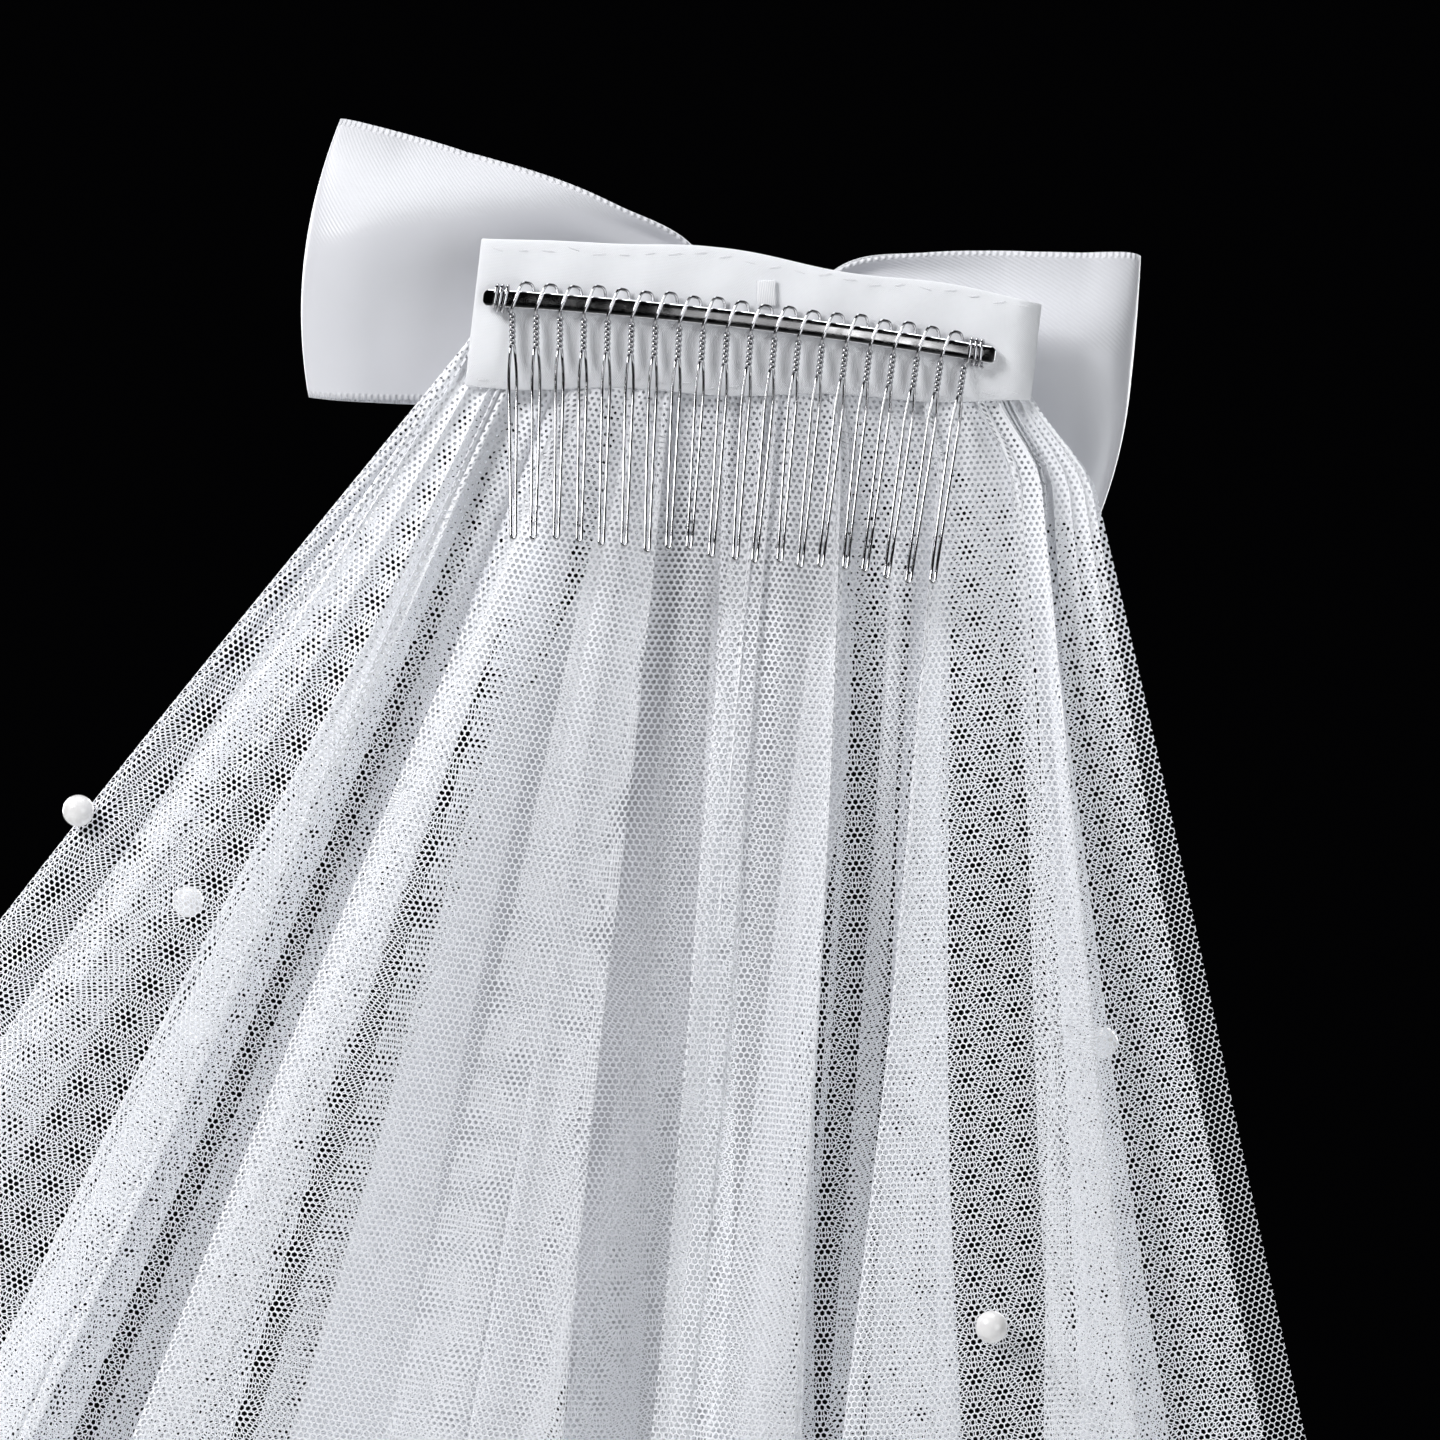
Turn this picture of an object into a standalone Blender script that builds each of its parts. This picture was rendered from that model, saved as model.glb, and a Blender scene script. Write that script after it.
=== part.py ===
"""Tulle veil: two gathered net tiers under a binding strip, a satin bow with tails, pearls and a wire comb.

Metres, +Z up. X runs along the comb's bar, -Y is the side that lies on the hair and +Y the outer side.
The origin is the middle of the comb's bar.
"""

import math
from collections import namedtuple

import bmesh
import bpy
from mathutils import Matrix, Vector

GAP = 0.0003

# Comb
BAR_LENGTH = 0.080
BAR_HEIGHT = 0.0026
BAR_THICKNESS = 0.0008
BAR_ARCH = 0.0011
TEETH = 20
TOOTH_PITCH = 0.00372
TOOTH_LENGTH = 0.0362
TOOTH_CURVE = 0.0095
TIP_CLOSING = 0.085
TIP_LEAN = 0.0015
WIRE = 0.0005
ARCH_RISE = 0.0010
SHANK_LENGTH = 0.0060
SHANK_TURNS = 2.25
SHANK_RADIUS = 0.00042
LEG_SPREAD = 0.0015
TIP_SPREAD = 0.0010
END_TURNS = 3
END_PITCH = 0.0008

# Binding strip
STRIP_WIDTH = 0.0875
STRIP_THICKNESS = 0.0012
STRIP_TOP = (0.0081, 0.0053)
STRIP_BOTTOM = (-0.0148, -0.0074)
STRIP_SHIFT = 0.0024

# Net tiers
CLOTH_WALL = 0.0010
GATHER_HALF = 0.0465
GATHER_MIDDLE = 0.0060
GATHER_RISE = 0.0040
TUCK = 0.0160
FAN_START = 0.0070
FAN = 0.637
FAN_SETTLES = 0.75
FAN_LENGTH = 0.600
FOLD_TOP = 0.0008
FOLD_GROWTH = 0.036
FOLD_SWELL = 1.25
INNER_LENGTH = 0.540
OUTER_LENGTH = 0.400
INNER_SWING = -0.060
OUTER_SWING = 0.035
CLOTH_ROWS = 9
ROW_CROWDING = 1.6
CLOTH_STEPS = 3

# Bow
RIBBON_WIDTH = 0.0425
RIBBON_WALL = 0.0010
LOOP_REACH = 0.0626
LOOP_DEPTH = 0.030
KNOT_PLACE = 0.0030
KNOT_WIDTH = 0.0150
KNOT_HEIGHT = 0.0220
KNOT_DEPTH = 0.0140
KNOT_WALL = 0.0012
KNOT_SIDES = 20
PINCH = 0.34
TAIL_LENGTH = 0.300
TAIL_PARTING = 0.02
TAIL_SLANT = 0.25

# Pearls
PEARL = 0.0050
PEARL_SIDES = 10
PEARL_RINGS = 5
PEARL_STEP = 0.001

# One row for each crease that the cloth meets on its way from left to right.
# top is its place in the gather, a share of GATHER_HALF either way.
# fan is its slope, a share of FAN. side is -1 towards the head and +1 outwards.
Crease = namedtuple("Crease", "top fan side")
INNER_CREASES = (
    Crease(-0.90, -0.70, 0.7),
    Crease(-1.00, -0.80, -0.4),
    Crease(-0.84, -0.50, -1.0),
    Crease(-0.80, -0.62, 1.0),
    Crease(-0.62, -0.33, 1.0),
    Crease(-0.60, -0.46, -1.0),
    Crease(-0.36, 0.02, -1.0),
    Crease(-0.34, -0.12, 1.0),
    Crease(-0.10, 0.16, 1.0),
    Crease(-0.06, 0.02, -1.0),
    Crease(0.24, 0.12, -1.0),
    Crease(0.27, -0.04, 1.0),
    Crease(0.56, 0.20, 1.0),
    Crease(0.60, 0.02, -1.0),
    Crease(0.84, 0.34, -1.0),
    Crease(0.88, 0.20, 1.0),
    Crease(1.00, 0.47, 0.2),
)
OUTER_CREASES = (
    Crease(-0.93, -0.78, -1.0),
    Crease(-1.00, -1.00, 0.3),
    Crease(-0.82, -0.48, 1.0),
    Crease(-0.78, -0.60, -1.0),
    Crease(-0.56, -0.14, -1.0),
    Crease(-0.53, -0.28, 1.0),
    Crease(-0.20, 0.06, 1.0),
    Crease(-0.16, -0.06, -1.0),
    Crease(0.16, 0.17, -1.0),
    Crease(0.20, 0.03, 1.0),
    Crease(0.50, 0.24, 1.0),
    Crease(0.54, 0.08, -1.0),
    Crease(0.80, 0.42, -1.0),
    Crease(0.84, 0.28, 1.0),
    Crease(1.00, 0.565, 0.4),
)

# One row for each section of a bow loop, along the ribbon from the knot, round the end and back to the knot.
# out is a share of LOOP_REACH, rise and half are shares of RIBBON_WIDTH, depth is a share of LOOP_DEPTH.
LoopSection = namedtuple("LoopSection", "out rise half depth")
LEFT_LOOP = (
    LoopSection(0.00, 0.00, 0.13, 0.08),
    LoopSection(0.05, 0.01, 0.15, 0.08),
    LoopSection(0.15, 0.03, 0.23, 0.06),
    LoopSection(0.38, 0.05, 0.37, 0.03),
    LoopSection(0.70, 0.06, 0.46, 0.01),
    LoopSection(1.00, 0.06, 0.50, 0.06),
    LoopSection(1.07, 0.06, 0.50, 0.24),
    LoopSection(0.96, 0.06, 0.49, 0.56),
    LoopSection(0.68, 0.06, 0.45, 0.94),
    LoopSection(0.36, 0.05, 0.36, 0.98),
    LoopSection(0.14, 0.03, 0.24, 0.58),
    LoopSection(0.05, 0.01, 0.15, 0.22),
    LoopSection(0.00, 0.00, 0.13, 0.18),
)
RIGHT_LOOP = (
    LoopSection(0.00, 0.00, 0.13, 0.08),
    LoopSection(0.05, 0.01, 0.15, 0.08),
    LoopSection(0.15, 0.02, 0.22, 0.06),
    LoopSection(0.34, 0.00, 0.35, 0.03),
    LoopSection(0.62, -0.04, 0.44, 0.01),
    LoopSection(0.81, -0.08, 0.50, 0.06),
    LoopSection(0.86, -0.09, 0.50, 0.24),
    LoopSection(0.79, -0.08, 0.50, 0.56),
    LoopSection(0.56, -0.02, 0.45, 0.94),
    LoopSection(0.32, 0.02, 0.36, 0.98),
    LoopSection(0.14, 0.02, 0.24, 0.58),
    LoopSection(0.05, 0.01, 0.15, 0.22),
    LoopSection(0.00, 0.00, 0.13, 0.18),
)

# One row for each section of a tail, from the knot down.
# drop is a share of TAIL_LENGTH, aside and half are shares of RIBBON_WIDTH, turn is in degrees about the drop.
TailSection = namedtuple("TailSection", "drop aside half turn")
LEFT_TAIL = (
    TailSection(0.00, -0.10, 0.16, 0.0),
    TailSection(0.08, -0.16, 0.32, 0.0),
    TailSection(0.20, -0.27, 0.48, -2.0),
    TailSection(0.40, -0.55, 0.50, -8.0),
    TailSection(0.62, -0.90, 0.50, -26.0),
    TailSection(0.82, -1.20, 0.50, -12.0),
    TailSection(1.00, -1.42, 0.50, 4.0),
)
MIDDLE_TAIL = (
    TailSection(0.00, 0.10, 0.16, 0.0),
    TailSection(0.08, 0.10, 0.32, 6.0),
    TailSection(0.20, 0.06, 0.48, 22.0),
    TailSection(0.40, 0.06, 0.50, 42.0),
    TailSection(0.62, 0.10, 0.50, 48.0),
    TailSection(0.82, 0.18, 0.50, 30.0),
    TailSection(1.00, 0.26, 0.50, 10.0),
)

# One row for each pearl. crease is its place along the cloth, counted in creases, drop is a share of the length,
# and face is the side of the cloth that it is sewn to, +1 for the one that shows outwards on a panel that runs right.
PearlPlace = namedtuple("PearlPlace", "tier crease drop face")
PEARLS = (
    PearlPlace("outer", 0.85, 0.221, 1),
    PearlPlace("outer", 1.60, 0.251, 1),
    PearlPlace("outer", 1.85, 0.300, 1),
    PearlPlace("outer", 13.30, 0.272, 1),
    PearlPlace("outer", 13.60, 0.480, 1),
    PearlPlace("outer", 9.50, 0.580, 1),
    PearlPlace("outer", 1.50, 0.640, 1),
    PearlPlace("outer", 13.50, 0.700, 1),
    PearlPlace("outer", 3.50, 0.880, 1),
    PearlPlace("outer", 9.60, 0.820, 1),
    PearlPlace("inner", 13.50, 0.282, -1),
    PearlPlace("inner", 5.50, 0.420, -1),
    PearlPlace("inner", 9.50, 0.500, -1),
    PearlPlace("inner", 1.60, 0.560, -1),
    PearlPlace("inner", 13.40, 0.620, -1),
    PearlPlace("inner", 5.60, 0.720, -1),
    PearlPlace("inner", 9.40, 0.800, -1),
    PearlPlace("inner", 13.60, 0.880, -1),
)

WHITE_NET = (0.80, 0.82, 0.87)
SATIN = (0.86, 0.86, 0.85)
SATIN_STRIP = (0.83, 0.84, 0.86)
NACRE = (0.88, 0.87, 0.84)
STEEL = (0.62, 0.62, 0.64)

wire_offset = BAR_THICKNESS / 2 + WIRE / 2 + GAP
strip_front = wire_offset + WIRE / 2 + GAP
strip_back = strip_front + STRIP_THICKNESS
inner_plane = strip_back + GAP + CLOTH_WALL / 2 + FOLD_SWELL * FOLD_TOP
outer_plane = inner_plane + 2 * FOLD_SWELL * FOLD_TOP + CLOTH_WALL + GAP
bow_plane = outer_plane + FOLD_SWELL * FOLD_TOP + CLOTH_WALL / 2 + GAP
tier_sizes = {
    "inner": (INNER_CREASES, INNER_LENGTH, inner_plane, INNER_SWING),
    "outer": (OUTER_CREASES, OUTER_LENGTH, outer_plane, OUTER_SWING),
}


def clear_scene():
    for obj in list(bpy.data.objects):
        bpy.data.objects.remove(obj, do_unlink=True)


def make_material(name, colour, roughness, metallic=0.0):
    material = bpy.data.materials.new(name)
    material.use_nodes = True
    shader = material.node_tree.nodes["Principled BSDF"]
    shader.inputs["Base Color"].default_value = (*colour, 1.0)
    shader.inputs["Roughness"].default_value = roughness
    shader.inputs["Metallic"].default_value = metallic
    return material


def add_object(name, data, material, parts):
    obj = bpy.data.objects.new(name, data)
    parts.objects.link(obj)
    data.materials.append(material)
    return obj


def mesh_from(bm, name):
    mesh = bpy.data.meshes.new(name)
    bmesh.ops.recalc_face_normals(bm, faces=bm.faces)
    bm.to_mesh(mesh)
    bm.free()
    mesh.shade_smooth()
    return mesh


def blend(rows, place):
    """The Catmull-Rom curve through equally spaced rows, at place counted in rows."""
    last = len(rows) - 1
    index = min(int(place), last - 1)
    t = place - index
    before, start = rows[max(index - 1, 0)], rows[index]
    end, after = rows[index + 1], rows[min(index + 2, last)]
    return [
        0.5 * (2 * b + (c - a) * t + (2 * a - 5 * b + 4 * c - d) * t * t + (3 * b - a - 3 * c + d) * t**3)
        for a, b, c, d in zip(before, start, end, after)
    ]


def shape_grid(name, across, down, place, wall, material, parts):
    """A flat grid of cloth, moved point by point to place(u, v) with both from 0 to 1, and given its wall."""
    bm = bmesh.new()
    bmesh.ops.create_grid(bm, x_segments=across, y_segments=down, size=0.5)
    for vert in bm.verts:
        vert.co = place(vert.co.x + 0.5, 0.5 - vert.co.y)
    obj = add_object(name, mesh_from(bm, name), material, parts)
    shell = obj.modifiers.new("wall", "SOLIDIFY")
    shell.thickness = wall
    shell.offset = 0.0
    return obj


def bar_height_at(x):
    """The height of the arched bar's middle line."""
    return -BAR_ARCH * (2 * x / BAR_LENGTH) ** 2


def make_bar(parts):
    steps = 12
    bm = bmesh.new()
    bmesh.ops.create_cube(bm, size=1.0)
    bmesh.ops.scale(bm, vec=(BAR_LENGTH, BAR_THICKNESS, BAR_HEIGHT), verts=bm.verts)
    long_edges = [edge for edge in bm.edges if abs(edge.verts[0].co.x - edge.verts[1].co.x) > BAR_LENGTH / 2]
    bmesh.ops.subdivide_edges(bm, edges=long_edges, cuts=steps - 1, use_grid_fill=True)
    for vert in bm.verts:
        vert.co.z += bar_height_at(vert.co.x)
    mesh = mesh_from(bm, "comb_bar")
    mesh.shade_flat()
    add_object("comb_bar", mesh, make_material("bar_metal", STEEL, 0.12, 1.0), parts)


def tooth_roots():
    half = (TEETH - 1) / 2
    return [(index - half) * TOOTH_PITCH for index in range(TEETH)]


def tooth_line(root, along):
    """A tooth's middle line: along is 0 under the bar and 1 at the tip."""
    tip = root * (1 - TIP_CLOSING) + TIP_LEAN
    top = bar_height_at(root) - BAR_HEIGHT / 2
    return Vector((root + (tip - root) * along, -TOOTH_CURVE * along**2, top - TOOTH_LENGTH * along))


def shank_strand(root, start_angle, down):
    """The points of one strand of a twisted shank, from the bar down or the other way."""
    steps = round(SHANK_TURNS * 4)
    points = []
    for step in range(steps + 1):
        share = step / steps
        angle = start_angle + share * SHANK_TURNS * math.tau
        depth = WIRE + GAP + (SHANK_LENGTH - WIRE - GAP) * share
        centre = tooth_line(root, depth / TOOTH_LENGTH)
        points.append(centre + SHANK_RADIUS * Vector((math.cos(angle), math.sin(angle), 0.0)))
    return points if down else points[::-1]


def hairpin(root):
    """Down one leg, round the tip and up the other leg."""
    shares = (0.27, 0.60, 0.94)
    spreads = (LEG_SPREAD, (LEG_SPREAD + TIP_SPREAD) / 2, TIP_SPREAD)
    legs = [(tooth_line(root, share), spread / 2) for share, spread in zip(shares, spreads)]
    left = [centre - Vector((half, 0.0, 0.0)) for centre, half in legs]
    right = [centre + Vector((half, 0.0, 0.0)) for centre, half in legs]
    return left + [tooth_line(root, 1.0)] + right[::-1]


def bar_corner(x, side, top):
    """A point where the wire passes the bar: side -1 is the hair side, and top is 1 over it and -1 under it."""
    reach = BAR_HEIGHT / 2 + WIRE / 2 + GAP
    return Vector((x, side * wire_offset, bar_height_at(x) + top * reach))


def end_winding(first, last):
    """Turns round the bar between two places, beginning under it on the hair side."""
    corners = ((-1, -1), (-1, 1), (1, 1), (1, -1))
    count = 4 * END_TURNS
    points = []
    for step in range(count):
        side, top = corners[step % 4]
        points.append(bar_corner(first + (last - first) * step / count, side, top))
    return points


def over_bar(root):
    """From a tooth, up the hair side of the bar, over it and down behind to the next tooth."""
    arch = bar_corner(root + 0.50 * TOOTH_PITCH, 0, 1) + Vector((0.0, 0.0, ARCH_RISE))
    return [
        bar_corner(root, -1, -0.9),
        bar_corner(root + 0.25 * TOOTH_PITCH, -1, 0.9),
        arch,
        bar_corner(root + 0.75 * TOOTH_PITCH, 1, 0.9),
        bar_corner(root + TOOTH_PITCH, 1, -0.9),
    ]


def make_wire(parts):
    roots = tooth_roots()
    span = END_TURNS * END_PITCH
    points = end_winding(roots[0] - WIRE - span, roots[0] - WIRE)
    for root in roots:
        points += shank_strand(root, math.pi / 2, True)
        points += hairpin(root)
        points += shank_strand(root, -math.pi / 2, False)
        if root != roots[-1]:
            points += over_bar(root)
    points += end_winding(roots[-1] + WIRE, roots[-1] + WIRE + span)
    curve = bpy.data.curves.new("comb_wire", "CURVE")
    curve.dimensions = "3D"
    curve.bevel_depth = WIRE / 2
    curve.bevel_resolution = 0
    curve.use_fill_caps = True
    spline = curve.splines.new("POLY")
    spline.points.add(len(points) - 1)
    for point, place in zip(spline.points, points):
        point.co = (*place, 1.0)
    add_object("comb_wire", curve, make_material("wire_metal", STEEL, 0.2, 1.0), parts)


def make_strip(parts):
    def place(u, v):
        top = STRIP_TOP[0] + (STRIP_TOP[1] - STRIP_TOP[0]) * u
        bottom = STRIP_BOTTOM[0] + (STRIP_BOTTOM[1] - STRIP_BOTTOM[0]) * u
        x = STRIP_SHIFT + (u - 0.5) * STRIP_WIDTH
        return Vector((x, (strip_front + strip_back) / 2, top + (bottom - top) * v))

    shape_grid("binding_strip", 6, 2, place, STRIP_THICKNESS, make_material("strip_satin", SATIN_STRIP, 0.45), parts)


def cloth_point(tier, crease, down):
    """A point of a net tier: crease counts along the cloth, and down goes from 0 at the gather to 1 at the hem."""
    creases, length, plane, swing = tier_sizes[tier]
    top, fan, side = blend(creases, crease)
    fallen = down**ROW_CROWDING * length
    free = max(0.0, fallen - TUCK)
    spread = max(0.0, fallen - FAN_START)
    reach = spread - FAN_SETTLES * spread**3 / (3 * FAN_LENGTH**2)
    depth = FOLD_TOP + FOLD_GROWTH * free
    middle = (sum(STRIP_TOP) + sum(STRIP_BOTTOM)) / 4
    slope = (STRIP_TOP[1] - STRIP_TOP[0] + STRIP_BOTTOM[1] - STRIP_BOTTOM[0]) / (2 * STRIP_WIDTH)
    gather = middle + GATHER_RISE + slope * top * GATHER_HALF
    x = GATHER_MIDDLE + top * GATHER_HALF + fan * FAN * reach
    return Vector((x, plane + swing * free + side * depth, gather - fallen))


def facet_point(tier, crease, down):
    """The same point on the flat facet between the sheet's grid points."""
    column, across = divmod(crease * CLOTH_STEPS, 1)
    row, below = divmod(down * CLOTH_ROWS, 1)
    corners = [
        cloth_point(tier, (column + right) / CLOTH_STEPS, (row + lower) / CLOTH_ROWS)
        for lower in (0, 1)
        for right in (0, 1)
    ]
    upper = corners[0].lerp(corners[1], across)
    return upper.lerp(corners[2].lerp(corners[3], across), below)


def make_tier(tier, parts):
    creases = tier_sizes[tier][0]
    last = len(creases) - 1
    shape_grid(
        f"tulle_{tier}_tier",
        last * CLOTH_STEPS,
        CLOTH_ROWS,
        lambda u, v: cloth_point(tier, u * last, v),
        CLOTH_WALL,
        make_material(f"{tier}_net", WHITE_NET, 0.8),
        parts,
    )


def make_loop(name, rows, hand, parts):
    """A ribbon loop. hand is -1 for the left and +1 for the right."""
    last = len(rows) - 1

    def place(u, v):
        out, rise, half, depth = blend(rows, v * last)
        x = KNOT_PLACE + hand * (KNOT_WIDTH * PINCH + out * LOOP_REACH)
        z = (rise + (1 - 2 * u) * half) * RIBBON_WIDTH
        return Vector((x, bow_plane + KNOT_WALL + 2 * GAP + RIBBON_WALL / 2 + depth * LOOP_DEPTH, z))

    shape_grid(name, 4, 2 * last, place, RIBBON_WALL, make_material(f"{name}_satin", SATIN, 0.4), parts)


def make_knot(parts):
    """A closed ribbon band round the pinched loops."""
    bm = bmesh.new()
    bmesh.ops.create_circle(bm, cap_ends=False, radius=0.5, segments=KNOT_SIDES)
    bmesh.ops.rotate(bm, matrix=Matrix.Rotation(math.pi / 2, 3, "Y"), verts=bm.verts)
    bmesh.ops.scale(bm, vec=(1.0, KNOT_DEPTH - KNOT_WALL, KNOT_HEIGHT - KNOT_WALL), verts=bm.verts)
    bmesh.ops.translate(bm, vec=(-KNOT_WIDTH / 2, 0.0, 0.0), verts=bm.verts)
    sides = bmesh.ops.extrude_edge_only(bm, edges=bm.edges)["geom"]
    moved = [item for item in sides if isinstance(item, bmesh.types.BMVert)]
    bmesh.ops.translate(bm, vec=(KNOT_WIDTH, 0.0, 0.0), verts=moved)
    knot = add_object("bow_knot", mesh_from(bm, "bow_knot"), make_material("knot_satin", SATIN, 0.4), parts)
    knot.location = (KNOT_PLACE, bow_plane + GAP + KNOT_DEPTH / 2, 0.0)
    shell = knot.modifiers.new("wall", "SOLIDIFY")
    shell.thickness = KNOT_WALL
    shell.offset = 0.0


def make_tail(name, rows, layer, parts):
    """A ribbon tail from under the knot. layer keeps the two tails apart at the knot."""
    last = len(rows) - 1

    def place(u, v):
        drop, aside, half, turn = blend(rows, v * last)
        angle = math.radians(turn)
        fallen = drop * TAIL_LENGTH
        reach = (2 * u - 1) * half * RIBBON_WIDTH
        slant = TAIL_SLANT * RIBBON_WIDTH * (u - 0.5) * max(0.0, v * last - last + 1)
        lift = layer * (RIBBON_WALL + GAP + TAIL_PARTING * fallen)
        clear = bow_plane + GAP + RIBBON_WALL + lift + (FOLD_SWELL * FOLD_GROWTH + OUTER_SWING) * fallen
        held = max(0.0, 1.0 - fallen / KNOT_HEIGHT) ** 2
        clear += held * (KNOT_DEPTH / 2 - RIBBON_WALL - GAP)
        y = clear + abs(half * RIBBON_WIDTH * math.sin(angle)) + reach * math.sin(angle)
        x = KNOT_PLACE + aside * RIBBON_WIDTH + reach * math.cos(angle)
        return Vector((x, y, -KNOT_HEIGHT / 2 - GAP - fallen - slant))

    shape_grid(name, 2, 2 * last, place, RIBBON_WALL, make_material(f"{name}_satin", SATIN, 0.4), parts)


def make_pearls(parts):
    material = make_material("pearl_nacre", NACRE, 0.2)
    bm = bmesh.new()
    bmesh.ops.create_uvsphere(bm, u_segments=PEARL_SIDES, v_segments=PEARL_RINGS, radius=PEARL / 2)
    mesh = mesh_from(bm, "pearl")
    mesh.materials.append(material)
    for number, (tier, crease, drop, face) in enumerate(PEARLS, 1):
        row = drop ** (1 / ROW_CROWDING)
        seat = facet_point(tier, crease, row)
        along = facet_point(tier, crease + PEARL_STEP, row) - seat
        down = facet_point(tier, crease, row + PEARL_STEP) - seat
        out = along.cross(down).normalized() * face
        pearl = bpy.data.objects.new(f"pearl_{number:02d}", mesh)
        pearl.location = seat + out * (PEARL / 2 + CLOTH_WALL / 2 + 2 * GAP)
        parts.objects.link(pearl)


def main():
    clear_scene()
    parts = bpy.data.collections.new("tulle_veil")
    bpy.context.scene.collection.children.link(parts)
    make_bar(parts)
    make_wire(parts)
    make_strip(parts)
    make_tier("inner", parts)
    make_tier("outer", parts)
    make_loop("bow_loop_left", LEFT_LOOP, -1, parts)
    make_loop("bow_loop_right", RIGHT_LOOP, 1, parts)
    make_knot(parts)
    make_tail("bow_tail_left", LEFT_TAIL, 0, parts)
    make_tail("bow_tail_middle", MIDDLE_TAIL, 1, parts)
    make_pearls(parts)


main()
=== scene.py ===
import math
import random

import bmesh
import bpy
from mathutils import Matrix, Vector


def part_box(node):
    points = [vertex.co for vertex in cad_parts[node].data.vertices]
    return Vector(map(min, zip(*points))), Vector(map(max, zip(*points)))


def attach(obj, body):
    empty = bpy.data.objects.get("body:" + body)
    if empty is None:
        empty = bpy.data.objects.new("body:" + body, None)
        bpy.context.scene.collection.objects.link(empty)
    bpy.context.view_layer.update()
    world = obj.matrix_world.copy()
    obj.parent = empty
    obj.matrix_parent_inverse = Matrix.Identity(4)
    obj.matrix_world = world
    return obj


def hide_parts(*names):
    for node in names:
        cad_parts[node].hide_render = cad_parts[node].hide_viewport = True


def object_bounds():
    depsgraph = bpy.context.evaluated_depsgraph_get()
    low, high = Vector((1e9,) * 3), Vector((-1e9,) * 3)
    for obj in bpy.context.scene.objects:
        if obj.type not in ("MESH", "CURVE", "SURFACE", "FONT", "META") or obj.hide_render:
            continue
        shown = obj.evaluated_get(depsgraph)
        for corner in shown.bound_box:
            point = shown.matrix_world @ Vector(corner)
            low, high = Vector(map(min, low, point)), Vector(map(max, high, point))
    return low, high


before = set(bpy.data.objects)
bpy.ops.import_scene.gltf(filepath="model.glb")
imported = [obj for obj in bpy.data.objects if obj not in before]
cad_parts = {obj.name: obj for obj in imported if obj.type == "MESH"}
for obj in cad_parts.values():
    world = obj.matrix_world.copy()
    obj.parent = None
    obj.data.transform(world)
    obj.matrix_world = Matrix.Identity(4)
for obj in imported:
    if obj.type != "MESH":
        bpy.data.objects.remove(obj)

cadBox = [list(map(float, corner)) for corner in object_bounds()]
print("frame loaded")


# Materials: each has its own short function, all of them procedural

# Short ways to add and join shader nodes
class Nodes:
    def __init__(self, name):
        self.material = bpy.data.materials.new(name)
        self.material.use_nodes = True
        self.tree = self.material.node_tree
        self.shader = self.tree.nodes["Principled BSDF"]

    def add(self, kind, **inputs):
        node = self.tree.nodes.new(kind)
        for name, value in inputs.items():
            self.set(node, name.replace("_", " "), value)
        return node

    def set(self, node, name, value):
        socket = node.inputs[name]
        if isinstance(value, bpy.types.NodeSocket):
            self.tree.links.new(value, socket)
        else:
            socket.default_value = value

    def math(self, operation, first, second=0.0, third=None):
        node = self.tree.nodes.new("ShaderNodeMath")
        node.operation = operation
        for index, value in enumerate((first, second) if third is None else (first, second, third)):
            if isinstance(value, bpy.types.NodeSocket):
                self.tree.links.new(value, node.inputs[index])
            else:
                node.inputs[index].default_value = value
        return node.outputs[0]

    def ramp(self, value, low, high, toLow=0.0, toHigh=1.0):
        node = self.tree.nodes.new("ShaderNodeMapRange")
        node.interpolation_type = "SMOOTHSTEP"
        for index, item in enumerate((value, low, high, toLow, toHigh)):
            if isinstance(item, bpy.types.NodeSocket):
                self.tree.links.new(item, node.inputs[index])
            else:
                node.inputs[index].default_value = item
        return node.outputs[0]

    def noise(self, vector, scale, detail=2.0):
        node = self.add("ShaderNodeTexNoise", Vector=vector, Scale=scale, Detail=detail)
        return node.outputs["Fac"]

    def mixColour(self, share, low, high):
        node = self.tree.nodes.new("ShaderNodeMix")
        node.data_type = "RGBA"
        self.tree.links.new(share, node.inputs[0])
        node.inputs[6].default_value = (*low, 1.0)
        node.inputs[7].default_value = (*high, 1.0)
        return node.outputs[2]

    def bump(self, height, distance, strength=1.0):
        node = self.add("ShaderNodeBump", Height=height, Distance=distance, Strength=strength)
        self.tree.links.new(node.outputs["Normal"], self.shader.inputs["Normal"])


netLook = {
    "pitch": 0.00100,  # metres between hole centres along a row
    "thread": 0.00018,
    "foldThick": 2.6,  # round threads close the holes where the cloth turns away
    "colour": (0.94, 0.95, 0.98),
    "shade": (0.86, 0.87, 0.90),
}


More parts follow.
